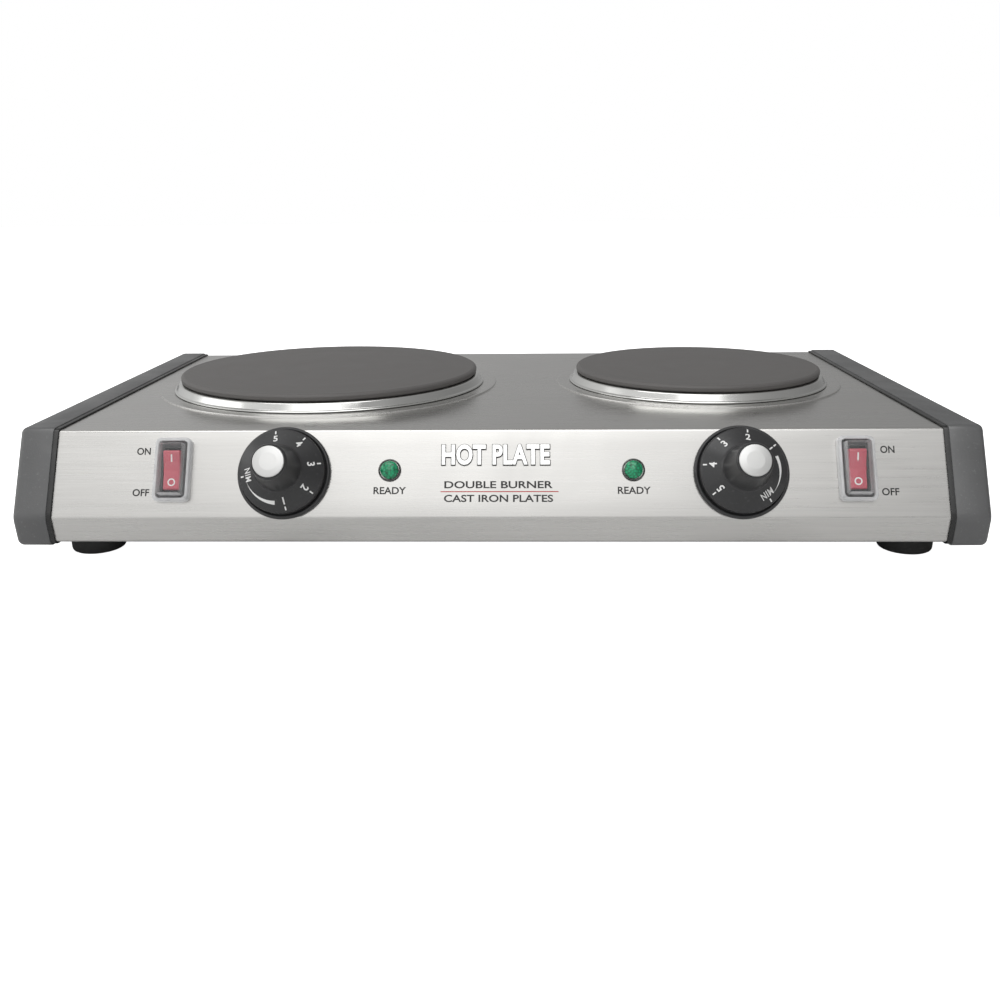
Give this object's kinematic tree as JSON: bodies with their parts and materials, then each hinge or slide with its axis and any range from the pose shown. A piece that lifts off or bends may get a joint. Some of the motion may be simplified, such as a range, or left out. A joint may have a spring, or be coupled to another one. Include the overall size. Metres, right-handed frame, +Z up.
{
  "type": "electric hot plate",
  "caption": "Low counter-top electric hot plate: sloped steel control panel, large and small cast-iron burners, plastic end caps, dials, rocker switches and ready lamps.",
  "frame": {"origin": "on the worktop, under the middle of the whole object's box", "axes": "+X to the user's right along the length, +Y to the back, +Z up"},
  "size_m": [0.5, 0.306, 0.0781],
  "materials": {
    "brushed_stainless": "brushed, grain along the width",
    "polished_steel": "polished",
    "zinc_plated_steel": "zinc plated, satin",
    "coated_cast_iron": "matte high-temperature coating over turned iron",
    "grained_black_plastic": "fine grain",
    "dial_black_plastic": "satin",
    "black_rubber": "matte",
    "red_rocker": "translucent, glossy",
    "clear_silicone": "clear soft cover",
    "green_lens": "translucent, glossy",
    "steatite": "unglazed",
    "white_nylon": "natural",
    "brass": "plain",
    "wire_sleeve": "braided glass sleeve"
  },
  "bodies": {
    "frame": {"badge": "polished_steel", "base_plate": "zinc_plated_steel", "burner_cover_large": "zinc_plated_steel", "burner_cover_small": "zinc_plated_steel", "burner_plate_large": "coated_cast_iron", "burner_plate_small": "coated_cast_iron", "burner_stud_large": "zinc_plated_steel", "burner_stud_small": "zinc_plated_steel", "burner_terminal_large": "steatite", "burner_terminal_small": "steatite", "clamp_bridge_large": "zinc_plated_steel", "clamp_bridge_small": "zinc_plated_steel", "contact_stack_left": "steatite", "contact_stack_right": "steatite", "cord_gland": "dial_black_plastic", "end_cap_left": "grained_black_plastic", "end_cap_right": "grained_black_plastic", "foot_front_left": "black_rubber", "foot_front_right": "black_rubber", "foot_rear_left": "black_rubber", "foot_rear_right": "black_rubber", "foot_screw_front_left": "zinc_plated_steel", "foot_screw_front_right": "zinc_plated_steel", "foot_screw_rear_left": "zinc_plated_steel", "foot_screw_rear_right": "zinc_plated_steel", "gland_nut": "dial_black_plastic", "heat_shield": "zinc_plated_steel", "heating_coil_large": "steatite", "heating_coil_small": "steatite", "housing": "brushed_stainless", "knob_bezel_left": "dial_black_plastic", "knob_bezel_right": "dial_black_plastic", "lamp_bezel_left": "polished_steel", "lamp_bezel_right": "polished_steel", "lamp_holder_left": "dial_black_plastic", "lamp_holder_right": "dial_black_plastic", "lamp_lens_left": "green_lens", "lamp_lens_right": "green_lens", "stud_nut_large": "zinc_plated_steel", "stud_nut_small": "zinc_plated_steel", "switch_body_left": "dial_black_plastic", "switch_body_right": "dial_black_plastic", "switch_cover_left": "clear_silicone", "switch_cover_right": "clear_silicone", "terminal_block": "white_nylon", "thermostat_frame_left": "zinc_plated_steel", "thermostat_frame_right": "zinc_plated_steel", "trim_ring_large": "polished_steel", "trim_ring_small": "polished_steel", "wiring_loom": "wire_sleeve"},
    "dial_left": {"knob_left": "dial_black_plastic", "knob_disc_left": "polished_steel", "thermostat_shaft_left": "zinc_plated_steel"},
    "switch_rocker_left": {"rocker_left": "red_rocker"},
    "switch_lever_left": {"contact_lever_left": "brass"},
    "dial_right": {"knob_right": "dial_black_plastic", "knob_disc_right": "polished_steel", "thermostat_shaft_right": "zinc_plated_steel"},
    "switch_rocker_right": {"rocker_right": "red_rocker"},
    "switch_lever_right": {"contact_lever_right": "brass"}
  },
  "joints": [
    {"name": "knob_left_turn", "type": "hinge", "parent": "frame", "child": "dial_left", "pos_m": [-0.1089, -0.11808, 0.04662], "axis": [0, -0.9063, 0.4226], "range_deg": [-10, 260]},
    {"name": "knob_right_turn", "type": "hinge", "parent": "frame", "child": "dial_right", "pos_m": [0.1259, -0.11808, 0.04662], "axis": [0, -0.9063, 0.4226], "range_deg": [-128, 142]},
    {"name": "rocker_left_rock", "type": "hinge", "parent": "frame", "child": "switch_rocker_left", "pos_m": [-0.167, -0.11777, 0.04824], "axis": [-1, 0, 0], "range_deg": [0, 20]},
    {"name": "lever_left_rock", "type": "hinge", "parent": "frame", "child": "switch_lever_left", "pos_m": [-0.167, -0.1107, 0.04494], "axis": [-1, 0, 0], "range_deg": [-8, 0]},
    {"name": "rocker_right_rock", "type": "hinge", "parent": "frame", "child": "switch_rocker_right", "pos_m": [0.184, -0.11777, 0.04824], "axis": [-1, 0, 0], "range_deg": [0, 20]},
    {"name": "lever_right_rock", "type": "hinge", "parent": "frame", "child": "switch_lever_right", "pos_m": [0.184, -0.1107, 0.04494], "axis": [-1, 0, 0], "range_deg": [-8, 0]}
  ],
  "couplings": [
    {"joint": "lever_left_rock", "follows": "rocker_left_rock", "ratio": -0.4},
    {"joint": "lever_right_rock", "follows": "rocker_right_rock", "ratio": -0.4}
  ]
}
